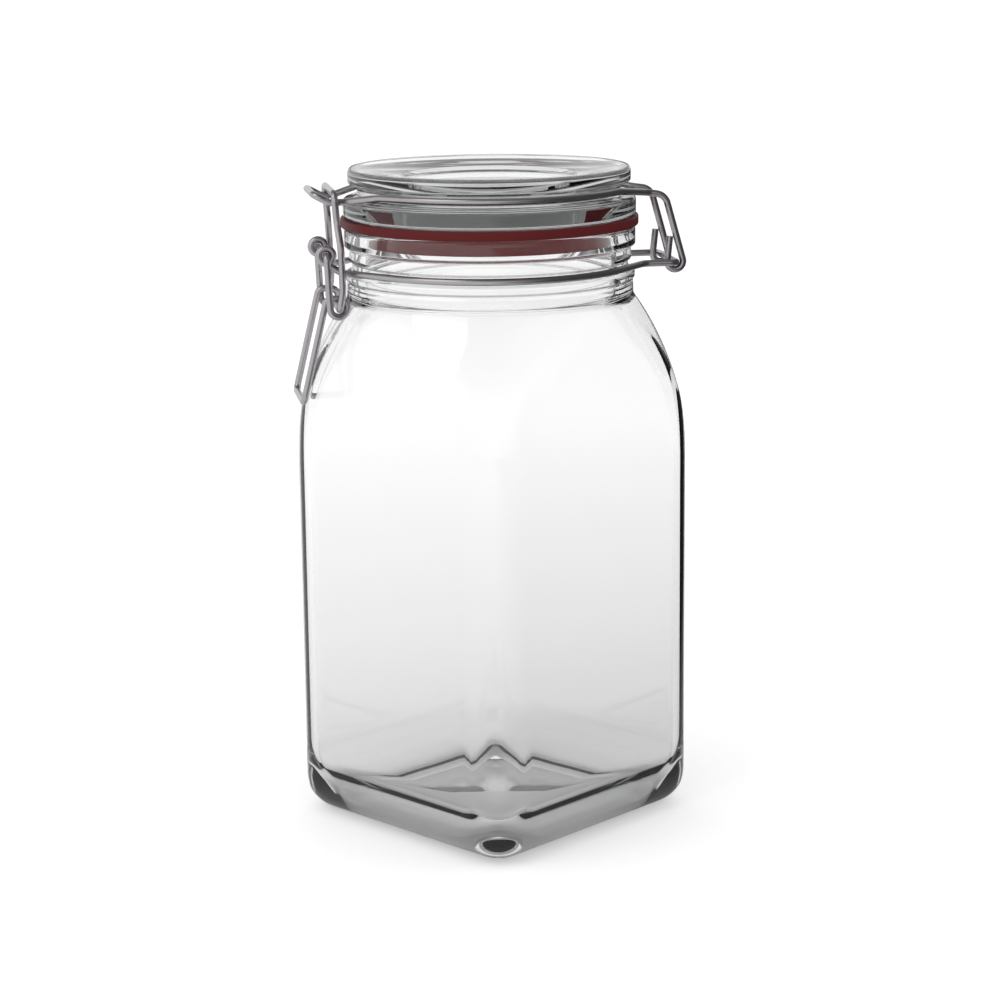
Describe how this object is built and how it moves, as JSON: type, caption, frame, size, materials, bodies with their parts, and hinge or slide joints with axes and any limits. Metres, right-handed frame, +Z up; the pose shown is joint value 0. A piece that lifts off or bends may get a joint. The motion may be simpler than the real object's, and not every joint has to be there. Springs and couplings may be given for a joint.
{
  "type": "clamp-top glass canister",
  "caption": "Square glass storage canister with a round neck, a dished glass lid on a rubber ring, and a wire bail clamp hinged behind and latched in front.",
  "frame": {"origin": "centre of the base's flat underside", "axes": "+Z up; the body's flat sides face X and Y; the closure's hinge line is behind at 53.7 degrees from +X towards +Y, and its clasp is opposite"},
  "size_m": [0.0992, 0.1154, 0.215],
  "materials": {
    "jar_glass": "clear polished moulded glass",
    "lid_glass": "clear polished moulded glass",
    "ring_rubber": "dark red satin rubber",
    "wire_steel": "drawn grey steel wire"
  },
  "bodies": {
    "base": {"jar": "jar_glass", "neck_wire": "wire_steel"},
    "lid": {"lid": "lid_glass", "lid_wire": "wire_steel", "gasket": "ring_rubber"},
    "lever": {"lever": "wire_steel"},
    "link": {"link": "wire_steel"}
  },
  "joints": [
    {"name": "lid_hinge", "type": "hinge", "parent": "base", "child": "lid", "pos_m": [0.03493, 0.04755, 0.1838], "axis": [-0.8059, 0.592, 0], "range_deg": [0, 180]},
    {"name": "lever_pivot", "type": "hinge", "parent": "base", "child": "lever", "pos_m": [-0.03221, -0.04384, 0.1894], "axis": [-0.8059, 0.592, 0], "range_deg": [0, 128]},
    {"name": "link_pivot", "type": "hinge", "parent": "lever", "child": "link", "pos_m": [-0.03013, -0.04102, 0.1729], "axis": [-0.8059, 0.592, 0], "range_deg": [-74.3, 0]}
  ],
  "couplings": [
    {"joint": "link_pivot", "follows": "lever_pivot", "ratio": -0.58}
  ]
}
